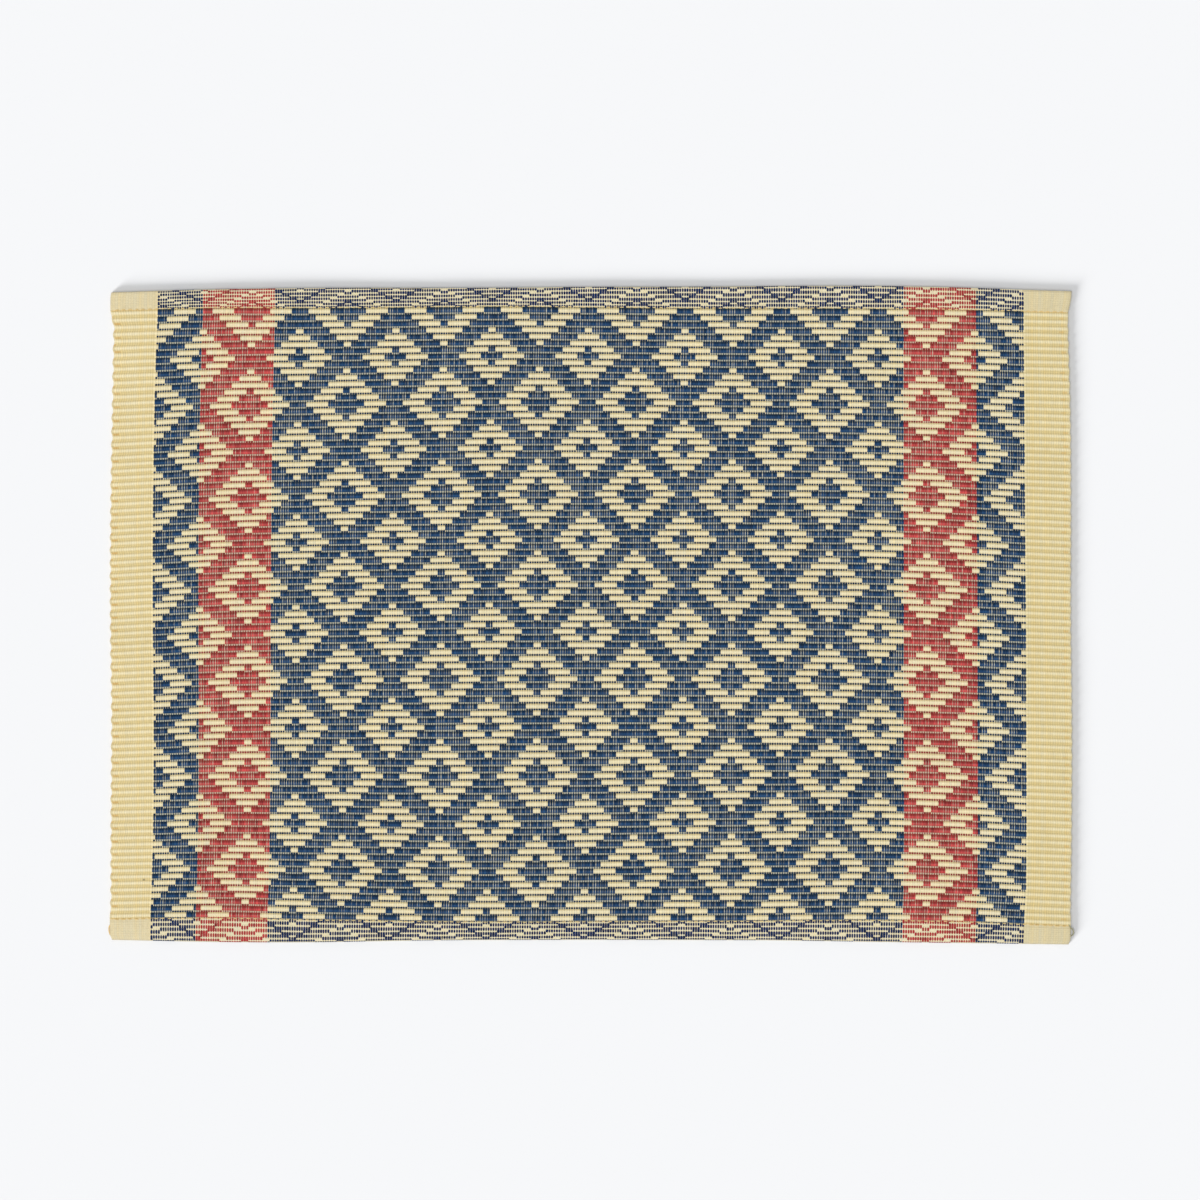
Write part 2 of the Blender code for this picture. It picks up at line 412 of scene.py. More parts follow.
def columns_x(rib, width, left, right):
    """X of every column's edges on one line of the cloth, from one selvedge's foot to the other's."""
    place = column_edges(width)
    share = ((place - MIDDLE_PAIR) / (PAIRS / 2) + 1) / 2
    x = (place - MIDDLE_PAIR) * PAIR_PITCH + smooth_grid(DRIFT, share_down(rib), share)
    for fold in (FAR_FOLD, NEAR_FOLD):
        x += smooth(fold.lean, share) * ease(1 - abs(rib - fold.seam) / LEAN_RIBS)
    x += np.interp(place, pairs, pair_wobble)
    inset = EDGE_STEPS[-1][0]
    first = LEFT_BORDER
    last = len(place) - 1 - RIGHT_BORDER
    x[:first] = np.interp(place[:first], (place[0], place[first]), (left + inset, x[first]))
    x[last + 1:] = np.interp(place[last + 1:], (place[last], place[-1]), (x[last], right - inset))
    insets = np.array([step for step, _ in EDGE_STEPS[:-1]])
    return np.concatenate([left + insets, x, (right - insets)[::-1]])


edge_shares = np.array([share for _, share in EDGE_STEPS[:-1]])
height_share = np.concatenate([edge_shares, np.ones(len(column_pair) + 1), edge_shares[::-1]])

# The waves of the whole cloth: reach in millimetres along X and Y, size and phase
Wave = namedtuple("Wave", "along_x along_y size phase")
WAVES = [Wave(170, 900, 0.04, 0.4), Wave(260, 210, 0.04, 1.9), Wave(90, 130, 0.025, 4.2),
         Wave(600, 75, 0.025, 2.6)]


def waves(x, y):
    return sum(wave.size * np.sin(2 * np.pi * (x / wave.along_x + y / wave.along_y) + wave.phase)
               for wave in WAVES)


# The pair that each column's edge belongs to
edge_pair = np.concatenate([
    np.zeros(SHOULDER_STEPS, int), np.arange(LEFT_BORDER), np.repeat(inner, 2),
    np.arange(PAIRS - RIGHT_BORDER, PAIRS), np.full(SHOULDER_STEPS, PAIRS - 1)])
edge_in_border = stripe_yarn[edge_pair] == "cream"


def rib_line(rib, width, height, depth, border_depth):
    """One line of points across the ribs, each with its X, Y, Z and share of the painted groove shade."""
    left, right = edges_x(rib)
    x = columns_x(rib, width, left, right)
    across = (x - left) / (right - left)
    y = rib_line_y(across, rib)
    crest = max(0.0, height - SWELL_FROM)
    fill = EDGE_FILL_SHARE * ease(1 - np.minimum(x - left, right - x) / EDGE_FILL)
    z = height + (CREST_HEIGHT - height) * fill + waves(x, y) + at_rib(rib_swell, rib, across) * crest
    depth = np.where(edge_in_border, border_depth, depth)
    return np.stack([x, y, z * height_share, depth * (1 - fill)], axis=-1)


HEM_WOBBLE = 0.13          # how far the rows of a hem stray, in millimetres
HEM_WOBBLE_ROWS = 10
hem_wobble = {side: rng.normal(0, HEM_WOBBLE, (WOBBLES, HEM_WOBBLE_ROWS)) for side in (1, -1)}


def hem_line(fold, place, width, relief, depth, rows_on=0.0):
    """One line of points across a hem, so many double rows out from the seam, and on round the fold. rows_on
    is how much further out each of its points lies."""
    row = place + rows_on
    left, right = edges_x(fold.seam)
    x = columns_x(fold.seam, width, left, right)
    across = (x - left) / (right - left)
    seam_y = rib_line_y(across, fold.seam)
    fold_y = fold.side * (HALF_DEPTH + smooth(fold.rise, across) + smooth(fold.ripple, across))
    flat = fold.side * (fold_y - seam_y) - FOLD_RADIUS
    rows = smooth(fold.rows, across)
    quarter = FOLD_RADIUS * np.pi / 2
    share = row / rows
    out = (flat + quarter) * (share * (1 - fold.crowding) + fold.crowding * share ** 2)
    stray = smooth(hem_wobble[fold.side], across)
    whole = np.clip(row, 0, HEM_WOBBLE_ROWS - 2).astype(int) + np.zeros(x.shape, int)
    before = stray[np.arange(len(x)), whole]
    after = stray[np.arange(len(x)), whole + 1]
    out += (before + (after - before) * (row - whole)) * np.sin(np.pi * share.clip(0, 1))
    past = flat + quarter + (row - rows) / (fold.last - rows) * quarter
    out = np.where(share <= 1, out, past)
    angle = np.clip((out - flat) / FOLD_RADIUS, 0, np.pi)
    radius = FOLD_RADIUS + relief
    y = seam_y + fold.side * (np.minimum(out, flat) + radius * np.sin(angle))
    dip = (2 * FOLD_RADIUS - SEAM_TOP) * (1 - ease(out / SEAM_SLOPE))
    z = FOLD_RADIUS + radius * np.cos(angle) - dip
    z += waves(x, y) * np.sin(np.pi * np.clip(out / (flat + quarter * 2), 0, 1)) ** 0.5
    z = np.maximum(z, BACK_HEIGHT)
    x = x + smooth(fold.lean, across) * FOLD_LEAN * share.clip(0, 1)
    draw_in = fold.corner * ease((out - flat + CORNER_REACH) / (2 * CORNER_REACH))
    left_out = (fold.left_end - fold.left_seam) * share.clip(0, 1) - draw_in
    right_out = (fold.right_end - fold.right_seam) * share.clip(0, 1) - draw_in
    x = x - left_out * np.clip(1 - across * END_SHARES, 0, 1)
    x = x + right_out * np.clip(1 - (1 - across) * END_SHARES, 0, 1)
    return np.stack([x, y, z * height_share, np.broadcast_to(depth, x.shape)], axis=-1)


def hem_pick(fold, row):
    """The pick that lies at a place in the hem, given in double rows out from the seam."""
    whole = int(np.floor(row))
    outer = row - whole >= 0.5
    if fold.side > 0:
        return Pick(-whole, "hem" if outer else "hem under")
    return Pick(RIBS + 1 + whole, "hem under" if outer else "hem")


def hem_lines(fold, top_rows, seam_pick):
    """A hem's lines of points, and the pick on each strip of faces between two of them."""
    thin = RIB_LINES[-1]
    seam_groove_shade = np.where(edge_in_border, SEAM_BORDER_GROOVE_SHADE, SEAM_GROOVE_SHADE)
    seam_width = dark_width(seam_pick, thin.up, thin.down)
    lines = [hem_line(fold, 0.0, seam_width, -PICK_RELIEF, seam_groove_shade)]
    places = [0.0]
    for number in range(int(top_rows * 2)):
        pick = hem_pick(fold, (number + 0.5) / 2)
        shows = dark_shows(pick)[edge_pair]
        width = dark_width(pick, DARK_UP_HEM, DARK_DOWN_HEM)
        for up, down in zip(HEM_STEPS_UP, HEM_STEPS_DOWN):
            place = (number + (up + down) / 2) / 2
            rows_on = np.where(edge_in_border, 0.0, np.where(shows, up - down, down - up) / 4)
            relief, depth = (PICK_RELIEF, 0.0) if up == 0.5 else (-PICK_RELIEF, HEM_GROOVE_SHADE)
            lines.append(hem_line(fold, place, width, relief, depth, rows_on))
            places.append(place)
    for place in np.arange(top_rows + 0.5, fold.last + 0.01, 0.5):
        width = dark_width(hem_pick(fold, place), DARK_UP_HEM, DARK_DOWN_HEM)
        lines.append(hem_line(fold, place, width, 0.0, HEM_GROOVE_SHADE))
        places.append(place)
    picks = [hem_pick(fold, (start + end) / 2) for start, end in zip(places, places[1:])]
    return lines, picks


# A strip of faces between two lines of points: its picks, of which it takes the darker colours, and how
# light
# its dark ends are: painted shade below 1 and a painted highlight above 1
Strip = namedtuple("Strip", "picks dark_tone")

far_lines, far_picks = hem_lines(FAR_FOLD, FAR_TOP_ROWS, Pick(0, "thin"))
near_lines, near_picks = hem_lines(NEAR_FOLD, NEAR_TOP_ROWS, Pick(RIBS, "thin"))
FAR_STRIPS = len(far_picks)


def all_lines():
    """Every line of points from the far fold's underside to the near one's, and the strips between them."""
    lines = far_lines[::-1]
    strips = [Strip([pick], 1.0) for pick in far_picks[::-1]]
    for rib in range(1, RIBS + 1):
        for number, line in enumerate(RIB_LINES):
            if rib + line.place > NEAR_SEAM:
                continue
            width = dark_width(Pick(rib, line.kind), line.up, line.down)
            lines.append(rib_line(rib + line.place, width, line.height, line.depth, line.border_depth))
            picks = [Pick(rib - 1, "thin"), Pick(rib, "thick")]
            if number > 0:
                picks = [Pick(rib, "thick" if number <= LAST_THICK_STRIP else "thin")]
            strips.append(Strip(picks, line.dark_tone))
    strips += [Strip([pick], 1.0) for pick in [Pick(RIBS, "thin"), *near_picks]]
    return np.array(lines + near_lines), strips


DARK_UNEVEN = 0.15
DARK_LIMITS = (0.6, 1.5)
LIGHT_UNEVEN = 0.02
BORDER_UNEVEN = 0.016
PEEK_MEAN = 0.31       # how strongly a light end shows between two dark ones
PEEK_UNEVEN = 0.47
GAP_SHADOW = 0.6         # the painted shadow in the gap where the light end hardly shows, as a share of the dark ends' colour
LIGHT_TINT = 0.010     # how far a light end's colour leans to warm or cool
WARMER = np.array([1.0, 0.0, -1.6])
light_tint = rng.normal(0, LIGHT_TINT, (PAIRS, 1)) * WARMER


def pick_colours(pick, dark_tone):
    """The colour of each column on one pick."""
    shows = dark_shows(pick)
    in_border = (stripe_yarn == "cream")[:, None]
    tone = of_pick(tone_table, pick)[:, None]
    in_hem = pick.kind.startswith("hem")
    # Painted shade and highlight on the dark ends: darker on the far flank and in the grooves, lighter on
    # the near flank
    dark = by_pair(HEM_DARK if in_hem else DARK) * dark_tone * (1 + DARK_UNEVEN * tone).clip(*DARK_LIMITS)
    light = (CREAM + light_tint) * (1 + np.where(in_border, BORDER_UNEVEN, LIGHT_UNEVEN) * tone)
    light[-RIGHT_BORDER:] *= RIGHT_BORDER_TINT
    if in_hem:
        light_colour = light * np.where(in_border, HEM_BORDER_TINT, HEM_TINT)
        return np.where(column_is_dark[:, None], dark[column_pair], light_colour[column_pair])
    strength = (PEEK_MEAN + PEEK_UNEVEN * of_pick(peek_table, pick)).clip(0.0, 1.0)[:, None]
    floats = shows if pick.kind == "thick" else dark_floats(pick)
    # A light end is hidden only between two dark ones that are both up
    hidden = (floats & np.append(floats[1:], False))[:, None] & ~in_border
    # Painted shade: between two dark ends that are up, a light end runs from a painted shadow, darker than
    # the ends, to a shaded cream
    light_colour = np.where(hidden, dark * GAP_SHADOW + (SHADED_PEEK - dark * GAP_SHADOW) * strength, light)
    if pick.kind == "thin":
        # Painted shade on a thin pick's light ends, deep between the ribs, with some of the dark ends'
        # colour
        under = (light * (1 - THIN_SHADE_SHARE) + by_pair(DARK) * THIN_SHADE_SHARE) * THIN_SHADE_TINT
        light_colour = np.where(in_border, light, np.where(shows[:, None], light * GAP_SHADE_TINT, under))
    return np.where(column_is_dark[:, None], dark[column_pair], light_colour[column_pair])


# Where the weft turns at the left selvedge it lies in a loop over every second rib. The groove above a loop
# ends in an ochre shade at the very edge and the one below it further in. Each shade is a range of columns
# from the left end, or from the right one if below zero, and a strength between two limits. At the right
# edge it lies one column further in below every other rib.
Shade = namedtuple("Shade", "first last strength")
SHADE_ABOVE_LOOP = (1, 5)
SHADE_BELOW_LOOP = (4, 7)
SHADE_RIGHT = (-7, -5)
LEFT_STRENGTHS = (0.5, 1.0)
RIGHT_STRENGTHS = (0.1, 0.6)
LOOP_GREY = linear(208, 192, 150)
LOOP_COLUMNS = slice(1, 5)
LOOP_STRENGTH = 0.45
SEAM_STRENGTH = 0.5    # of the ochre at a seam, in the borders


def shades(row):
    columns = SHADE_BELOW_LOOP if row % TURN_RIBS == 0 else SHADE_ABOVE_LOOP
    left = Shade(*columns, rng.uniform(*LEFT_STRENGTHS))
    first, last = SHADE_RIGHT
    right = Shade(first - row % TURN_RIBS, last - row % TURN_RIBS, rng.uniform(*RIGHT_STRENGTHS))
    return left, right


groove_shades = [shades(row) for row in range(RIBS + 1)]
FLECK = Pick(86, "thin")   # a dark fibre caught in the left border
FLECK_COLUMN = 18
FLECK_COLOUR = linear(176, 168, 145)


def face_colours(strips):
    """The colour of every face of the cloth's top, one row for each strip between two lines."""
    rows = []
    for strip in strips:
        colours = np.min([pick_colours(pick, strip.dark_tone) for pick in strip.picks], axis=0)
        row = np.concatenate([
            np.repeat(colours[:1], SHOULDER_STEPS, 0), colours, np.repeat(colours[-1:], SHOULDER_STEPS, 0)])
        pick = strip.picks[0]
        if pick.kind == "thin":
            for shade in groove_shades[pick.row]:
                row[shade.first:shade.last] += (OCHRE - row[shade.first:shade.last]) * shade.strength
            if pick.row in (0, RIBS):
                border = np.r_[0:SHOULDER_STEPS + LEFT_BORDER, -SHOULDER_STEPS - RIGHT_BORDER:0]
                row[border] += (SEAM_OCHRE - row[border]) * SEAM_STRENGTH
            if pick == FLECK:
                row[FLECK_COLUMN] = FLECK_COLOUR
        if pick.kind == "thick" and pick.row % TURN_RIBS == 0:
            row[LOOP_COLUMNS] += (LOOP_GREY - row[LOOP_COLUMNS]) * LOOP_STRENGTH
        rows.append(row)
    return np.array(rows)


MAP_MARGIN = 0.006     # bare space beside and between the strips of the map OFBake


def sheet_maps(places, line_of, column_of, islands):
    """Two maps of a sheet, for each corner of its faces. The first counts the columns across and the length
    along them, in millimetres. The second lays the sheet out flat in a square, cut into strips that lie one
    above the other."""
    columns = places.shape[1]
    along = np.linalg.norm(np.diff(places, axis=0), axis=-1).mean(1)
    along = np.concatenate([[0], np.cumsum(along)])
    across = np.linalg.norm(np.diff(places, axis=1), axis=-1).mean(0)
    across = np.concatenate([[0], np.cumsum(across)])
    yarn_map = np.stack([column_of, along[line_of]], -1)
    cuts = np.searchsorted(across, across[-1] * np.arange(islands + 1) / islands)
    cuts[-1] = columns - 1
    island = np.searchsorted(cuts, np.arange(columns - 1), side="right") - 1
    island = np.clip(island, 0, islands - 1)[None, :, None]
    start = across[cuts[island]]
    length = across[cuts[island + 1]] - start
    bare = MAP_MARGIN * islands
    u = MAP_MARGIN + (1 - 2 * MAP_MARGIN) * (across[column_of] - start) / length
    v = (island + bare / 2 + (1 - bare) * along[line_of] / along[-1]) / islands
    return yarn_map, np.stack([u, v], -1)


def sheet_mesh(name, points, colours, line_shading, flip, islands, material):
    """A sheet of faces through rows of points, with a colour for each face, a share of painted groove shade
    for each point and two maps, Yarn and OFBake. How strongly each face shows the painted shade and light
    that draw a border's fine lines is kept as the colour's alpha."""
    lines, columns = points.shape[:2]
    places = points[..., :3]
    number = np.arange(lines * columns).reshape(lines, columns)
    quads = np.stack([number[:-1, :-1], number[1:, :-1], number[1:, 1:], number[:-1, 1:]], -1)
    corner_line = np.array([0, 1, 1, 0])
    corner_column = np.array([0, 0, 1, 1])
    if flip:
        quads = quads[..., ::-1]
        corner_line = corner_line[::-1]
        corner_column = corner_column[::-1]
    line_of = np.arange(lines - 1)[:, None, None] + corner_line + np.zeros((1, columns - 1, 1), int)
    column_of = np.arange(columns - 1)[None, :, None] + corner_column + np.zeros((lines - 1, 1, 1), int)
    mesh = bpy.data.meshes.new(name)
    flat = quads.reshape(-1, 4)
    mesh.vertices.add(lines * columns)
    mesh.vertices.foreach_set("co", (places.reshape(-1, 3) * MM).astype(np.float32).ravel())
    mesh.loops.add(flat.size)
    mesh.loops.foreach_set("vertex_index", flat.ravel().astype(np.int32))
    mesh.polygons.add(len(flat))
    mesh.polygons.foreach_set("loop_start", np.arange(0, flat.size, 4, dtype=np.int32))
    mesh.update(calc_edges=True)
    mesh.shade_smooth()

    for map_name, corners in zip(("Yarn", "OFBake"), sheet_maps(places, line_of, column_of, islands)):
        layer = mesh.uv_layers.new(name=map_name)
        layer.uv.foreach_set("vector", corners.reshape(-1, 2).astype(np.float32).ravel())
    layer = mesh.attributes.new("yarn", "FLOAT_COLOR", "FACE")
    rgba = np.concatenate([colours, line_shading[..., None]], -1)
    layer.data.foreach_set("color", rgba.astype(np.float32).ravel())
    layer = mesh.attributes.new("depth", "FLOAT", "POINT")
    layer.data.foreach_set("value", points[..., 3].astype(np.float32).ravel())
    mesh.materials.append(material)
    piece = bpy.data.objects.new(name, mesh)
    bpy.context.scene.collection.objects.link(piece)
    return piece


def node(tree, kind, **settings):
    made = tree.nodes.new(kind)
    for name, value in settings.items():
        setattr(made, name, value)
    return made


def fill_inputs(tree, made, values):
    """Sets a node's first inputs, each from a plain value or from another node's output."""
    for socket, value in zip(made.inputs, values):
        if isinstance(value, bpy.types.NodeSocket):
            tree.links.new(value, socket)
        else:
            socket.default_value = value
    return made.outputs[0]


def math_node(tree, operation, *values):
    return fill_inputs(tree, node(tree, "ShaderNodeMath", operation=operation), values)


def vector_node(tree, operation, *values):
    return fill_inputs(tree, node(tree, "ShaderNodeVectorMath", operation=operation), values)


def scaled(tree, vector, scale):
    made = node(tree, "ShaderNodeVectorMath", operation="SCALE")
    tree.links.new(scale, made.inputs["Scale"])
    return fill_inputs(tree, made, [vector])


def noise_node(tree, place, scale, detail=3.0):
    noise = node(tree, "ShaderNodeTexNoise")
    noise.inputs["Scale"].default_value = scale
    noise.inputs["Detail"].default_value = detail
    tree.links.new(place, noise.inputs["Vector"])
    return noise.outputs["Fac"]


def remap(tree, value, low, high):
    """Stretches a value from 0.3 to 0.7, where noise mostly lies, to a new range."""
    return fill_inputs(tree, node(tree, "ShaderNodeMapRange"), [value, 0.3, 0.7, low, high])


def plain_shader(name, roughness, specular, sheen):
    material = bpy.data.materials.new(name)
    material.use_nodes = True
    shader = material.node_tree.nodes["Principled BSDF"]
    shader.inputs["Roughness"].default_value = roughness
    shader.inputs["Specular IOR Level"].default_value = specular
    shader.inputs["Sheen Weight"].default_value = sheen
    shader.inputs["Sheen Roughness"].default_value = 0.5
    return material, material.node_tree, shader


def add_bump(tree, shader, height, strength, distance):
    bump = node(tree, "ShaderNodeBump")
    bump.inputs["Strength"].default_value = strength
    bump.inputs["Distance"].default_value = distance
    tree.links.new(height, bump.inputs["Height"])
    tree.links.new(bump.outputs["Normal"], shader.inputs["Normal"])


# The yarn: how fine each noise is, the range it is stretched to, and how strongly each form shows. A bump is
# its strength and its distance in metres.
FIBRE_SCALE = 1900.0
FIBRE_RANGE = (0.92, 1.06)
CLOUD_SCALE = 34.0
CLOUD_RANGE = (0.98, 1.015)
YARN_GLOSS_SCALE = 700.0
YARN_ROUGHNESS = (0.52, 0.68)
LINE_SHADING_STRENGTH = 0.18   # of the painted shade and light that draw a border's fine lines
LINE_SHADING_CENTRE = -0.115   # leaves their mean at about nothing
TWIST_TURNS = 1.9      # for each millimetre
TWIST_HEIGHT = 0.10
FIBRE_HEIGHT = 1.4
YARN_BUMP = (0.4, 0.00012)

# The sewing thread
MOTTLE_SCALE = 900.0
MOTTLE_RANGE = (0.85, 1.08)
PLY_SCALE = 900.0
THREAD_GLOSS_SCALE = 500.0
THREAD_ROUGHNESS = (0.72, 0.88)
THREAD_BUMP = (0.4, 0.00008)


def yarn_material():
    """Cotton ends: the colour of each face, with painted shade deeper in the grooves, mottled fibres, a
    rounded crest on each end and its twist. In the borders painted shade and light across each end draw them
    as fine lines."""
    material, tree, shader = plain_shader("yarn", roughness=0.6, specular=0.15, sheen=0.03)
    face = node(tree, "ShaderNodeAttribute", attribute_name="yarn")
    depth = node(tree, "ShaderNodeAttribute", attribute_name="depth").outputs["Fac"]
    place = node(tree, "ShaderNodeTexCoord").outputs["Object"]
    fibres = remap(tree, noise_node(tree, place, FIBRE_SCALE), *FIBRE_RANGE)
    clouds = remap(tree, noise_node(tree, place, CLOUD_SCALE), *CLOUD_RANGE)
    mottled = scaled(tree, face.outputs["Color"], math_node(tree, "MULTIPLY", fibres, clouds))
    # Painted shade: the colour grows darker and warmer with each point's share of the groove shade
    lost = scaled(tree, GROOVE_SHADE_TINT - 1, depth)
    kept = vector_node(tree, "ADD", lost, (1.0, 1.0, 1.0))
    toned = vector_node(tree, "MULTIPLY", mottled, kept)

    parts = node(tree, "ShaderNodeSeparateXYZ")
    tree.links.new(node(tree, "ShaderNodeUVMap", uv_map="Yarn").outputs["UV"], parts.inputs["Vector"])
    inside = math_node(tree, "FRACT", parts.outputs["X"])
    crest = math_node(tree, "SINE", math_node(tree, "MULTIPLY", inside, np.pi))
    # In the borders the ends are all one colour, and painted shade between them and painted light on their
    # crests draw them as fine lines
    end_shading = math_node(tree, "MULTIPLY_ADD", crest, LINE_SHADING_STRENGTH, LINE_SHADING_CENTRE)
    end_shading = math_node(tree, "MULTIPLY_ADD", end_shading, face.outputs["Alpha"], 1.0)
    tree.links.new(scaled(tree, toned, end_shading), shader.inputs["Base Color"])
    turns = math_node(tree, "MULTIPLY_ADD", parts.outputs["Y"], TWIST_TURNS, inside)
    twist = math_node(tree, "SINE", math_node(tree, "MULTIPLY", turns, 2 * np.pi))
    height = math_node(tree, "MULTIPLY_ADD", twist, TWIST_HEIGHT, crest)
    height = math_node(tree, "MULTIPLY_ADD", fibres, FIBRE_HEIGHT, height)
    add_bump(tree, shader, height, *YARN_BUMP)
    gloss = remap(tree, noise_node(tree, place, YARN_GLOSS_SCALE), *YARN_ROUGHNESS)
    tree.links.new(gloss, shader.inputs["Roughness"])
    return material


def thread_material(name, colour):
    """Sewing thread: two plies that wind round it, on a mottled cotton."""
    material, tree, shader = plain_shader(name, roughness=0.8, specular=0.3, sheen=0.05)
    place = node(tree, "ShaderNodeTexCoord").outputs["Object"]
    mottle = remap(tree, noise_node(tree, place, MOTTLE_SCALE), *MOTTLE_RANGE)
    tree.links.new(scaled(tree, colour, mottle), shader.inputs["Base Color"])
    plies = node(tree, "ShaderNodeTexWave", bands_direction="DIAGONAL")
    plies.inputs["Scale"].default_value = PLY_SCALE
    tree.links.new(place, plies.inputs["Vector"])
    add_bump(tree, shader, plies.outputs["Fac"], *THREAD_BUMP)
    gloss = remap(tree, noise_node(tree, place, THREAD_GLOSS_SCALE), *THREAD_ROUGHNESS)
    tree.links.new(gloss, shader.inputs["Roughness"])
    return material


def dressed(piece):
    """Makes a piece part of the placemat."""
    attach(piece, "root")
    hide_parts("placemat")
    return piece


yarn = yarn_material()
THREAD_COLOUR = linear(232, 207, 146)
OCHRE_THREAD_COLOUR = linear(234, 202, 138)
GREY_THREAD_COLOUR = linear(160, 158, 128)
thread = thread_material("thread", THREAD_COLOUR)
ochre_thread = thread_material("ochre_thread", OCHRE_THREAD_COLOUR)
grey_thread = thread_material("grey_thread", GREY_THREAD_COLOUR)
cloth_points, cloth_strips = all_lines()
cloth_colours = face_colours(cloth_strips)
HEM_LINE_SHADING = 0.4        # how strongly the painted shade and light of a border's fine lines show in the hems
strip_in_hem = [strip.picks[0].kind.startswith("hem") for strip in cloth_strips]
strip_line_shading = np.where(strip_in_hem, HEM_LINE_SHADING, 1.0)
cloth_line_shading = strip_line_shading[:, None] * column_line_shading

# The top is made in bands of ribs that meet in the grooves
BANDS = [
    ("weave_far", 14), ("weave_upper", 22), ("weave_middle", 21), ("weave_lower", 20), ("weave_near", 15)]
MAP_STRIPS = 3         # strips that a band's map is cut into
first = 0
ribs_done = 0
for band_name, band_ribs in BANDS:
    ribs_done += band_ribs
    last = FAR_STRIPS + ribs_done * len(RIB_LINES)
    if ribs_done == RIBS:
        last = len(cloth_points) - 1
    dressed(sheet_mesh(
        band_name, cloth_points[first:last + 1], cloth_colours[first:last], cloth_line_shading[first:last],
        False, MAP_STRIPS, yarn))
    first = last


BACK_BORDER_STEP = 4   # pairs of a border that share a column on the underside
BACK_UNEVEN = 0.04


def back_sheet():
    """The underside: each pair shows the end that is down on top, and each hem turns under as a flap that
    reaches the stitches. It has fewer columns than the top, and meets it at only some of its points."""
    even = np.full(PAIRS, 0.5)
    body = []
    body_picks = []
    for rib in range(1, RIBS + 1):
        body.append(rib_line(rib - 0.5, even, BACK_GROOVE, 1.0, 1.0))
        body.append(rib_line(rib, even, BACK_HEIGHT, 0.0, 0.0))
        body_picks += [Pick(rib - 1, "thin"), Pick(rib, "thick")]
    body.append(rib_line(NEAR_SEAM, even, BACK_GROOVE, 1.0, 1.0))

    def flap(fold, edge, seam):
        count = int(BACK_HEM_ROWS * 2)
        shares = np.arange(count)[:, None, None] / count
        picks = [hem_pick(fold, fold.last + 0.25 + step / 2) for step in range(count)]
        return list(edge * (1 - shares) + seam * shares), picks

    far, far_flap_picks = flap(FAR_FOLD, cloth_points[0], body[0])
    near, near_flap_picks = flap(NEAR_FOLD, cloth_points[-1], body[-1])
    points = np.array(far + body + near[::-1])
    picks = far_flap_picks + body_picks + near_flap_picks[::-1]
    # One column for each pair, and one for a few pairs of a border
    first_inner = SHOULDER_STEPS + LEFT_BORDER
    after_inner = first_inner + 2 * len(inner)
    last_edge = points.shape[1] - 1
    keep = np.concatenate([
        [0], np.arange(SHOULDER_STEPS, first_inner, BACK_BORDER_STEP),
        np.arange(first_inner, after_inner, 2),
        np.arange(after_inner + BACK_BORDER_STEP - 1, last_edge - SHOULDER_STEPS, BACK_BORDER_STEP),
        [last_edge]])
    points = points[:, keep].copy()
    limit = BACK_GROOVE * ease((points[..., 3] - 0.5) * 2)
    points[..., 2] = np.clip(points[..., 2], BACK_HEIGHT, np.maximum(limit, BACK_HEIGHT))
    points[:, [0, -1], 2] = BACK_HEIGHT
    pair_of = column_pair[np.clip(keep[:-1] - SHOULDER_STEPS, 0, len(column_pair) - 1)]
    colours = []
    for pick in picks:
        shows = dark_shows(pick)
        if not pick.kind.startswith("hem"):
            shows = ~shows
        tone = 1 + BACK_UNEVEN * of_pick(tone_table, pick)[:, None]
        colour = np.where(shows[:, None], by_pair(DARK), CREAM) * tone
        colours.append(colour[pair_of])
    line_shading = np.zeros((len(picks), len(pair_of)))
    return sheet_mesh("back", points, np.array(colours), line_shading, True, 1, yarn)


back = dressed(back_sheet())

END_SHARPNESS = 6      # how suddenly a thread's ends round off
END_THINNEST = 0.12    # the square of the share of its radius that it keeps there


def tube(path_points, radius, sides=6):
    """Points and faces of a thread through a row of points, closed at both ends."""
    path = np.array(path_points, float)
    ahead = np.gradient(path, axis=0)
    ahead /= np.linalg.norm(ahead, axis=1, keepdims=True)
    side = np.cross(ahead, (0.0, 0.0, 1.0))
    side /= np.maximum(np.linalg.norm(side, axis=1, keepdims=True), 1e-9)
    up = np.cross(side, ahead)
    share = np.linspace(0, 1, len(path))
    round_end = np.sqrt(np.clip(1 - np.abs(2 * share - 1) ** END_SHARPNESS, END_THINNEST, 1)) * radius
    turn_by = 2 * np.pi * np.arange(sides) / sides
    ring = (side[:, None] * np.cos(turn_by)[:, None] + up[:, None] * np.sin(turn_by)[:, None])
    points = path[:, None] + ring * round_end[:, None, None]
    faces = []
    for row in range(len(path) - 1):
        for column in range(sides):
            next_column = (column + 1) % sides
            faces.append((row * sides + column, row * sides + next_column,
                          (row + 1) * sides + next_column, (row + 1) * sides + column))
    faces.append(tuple(range(sides))[::-1])
    faces.append(tuple((len(path) - 1) * sides + column for column in range(sides)))
    return points.reshape(-1, 3), faces


def thread_piece(name, paths, material):
    """One piece made of many short threads. Each path is its points and its radius."""
    points = []
    faces = []
    count = 0
    for path, radius in paths:
        new_points, new_faces = tube(path, radius)
        points.append(new_points)
        faces += [tuple(corner + count for corner in face) for face in new_faces]
        count += len(new_points)
    mesh = bpy.data.meshes.new(name)
    mesh.from_pydata((np.concatenate(points) * MM).tolist(), [], faces)
    mesh.shade_smooth()
    mesh.materials.append(material)
    piece = bpy.data.objects.new(name, mesh)
    bpy.context.scene.collection.objects.link(piece)
    return dressed(piece)


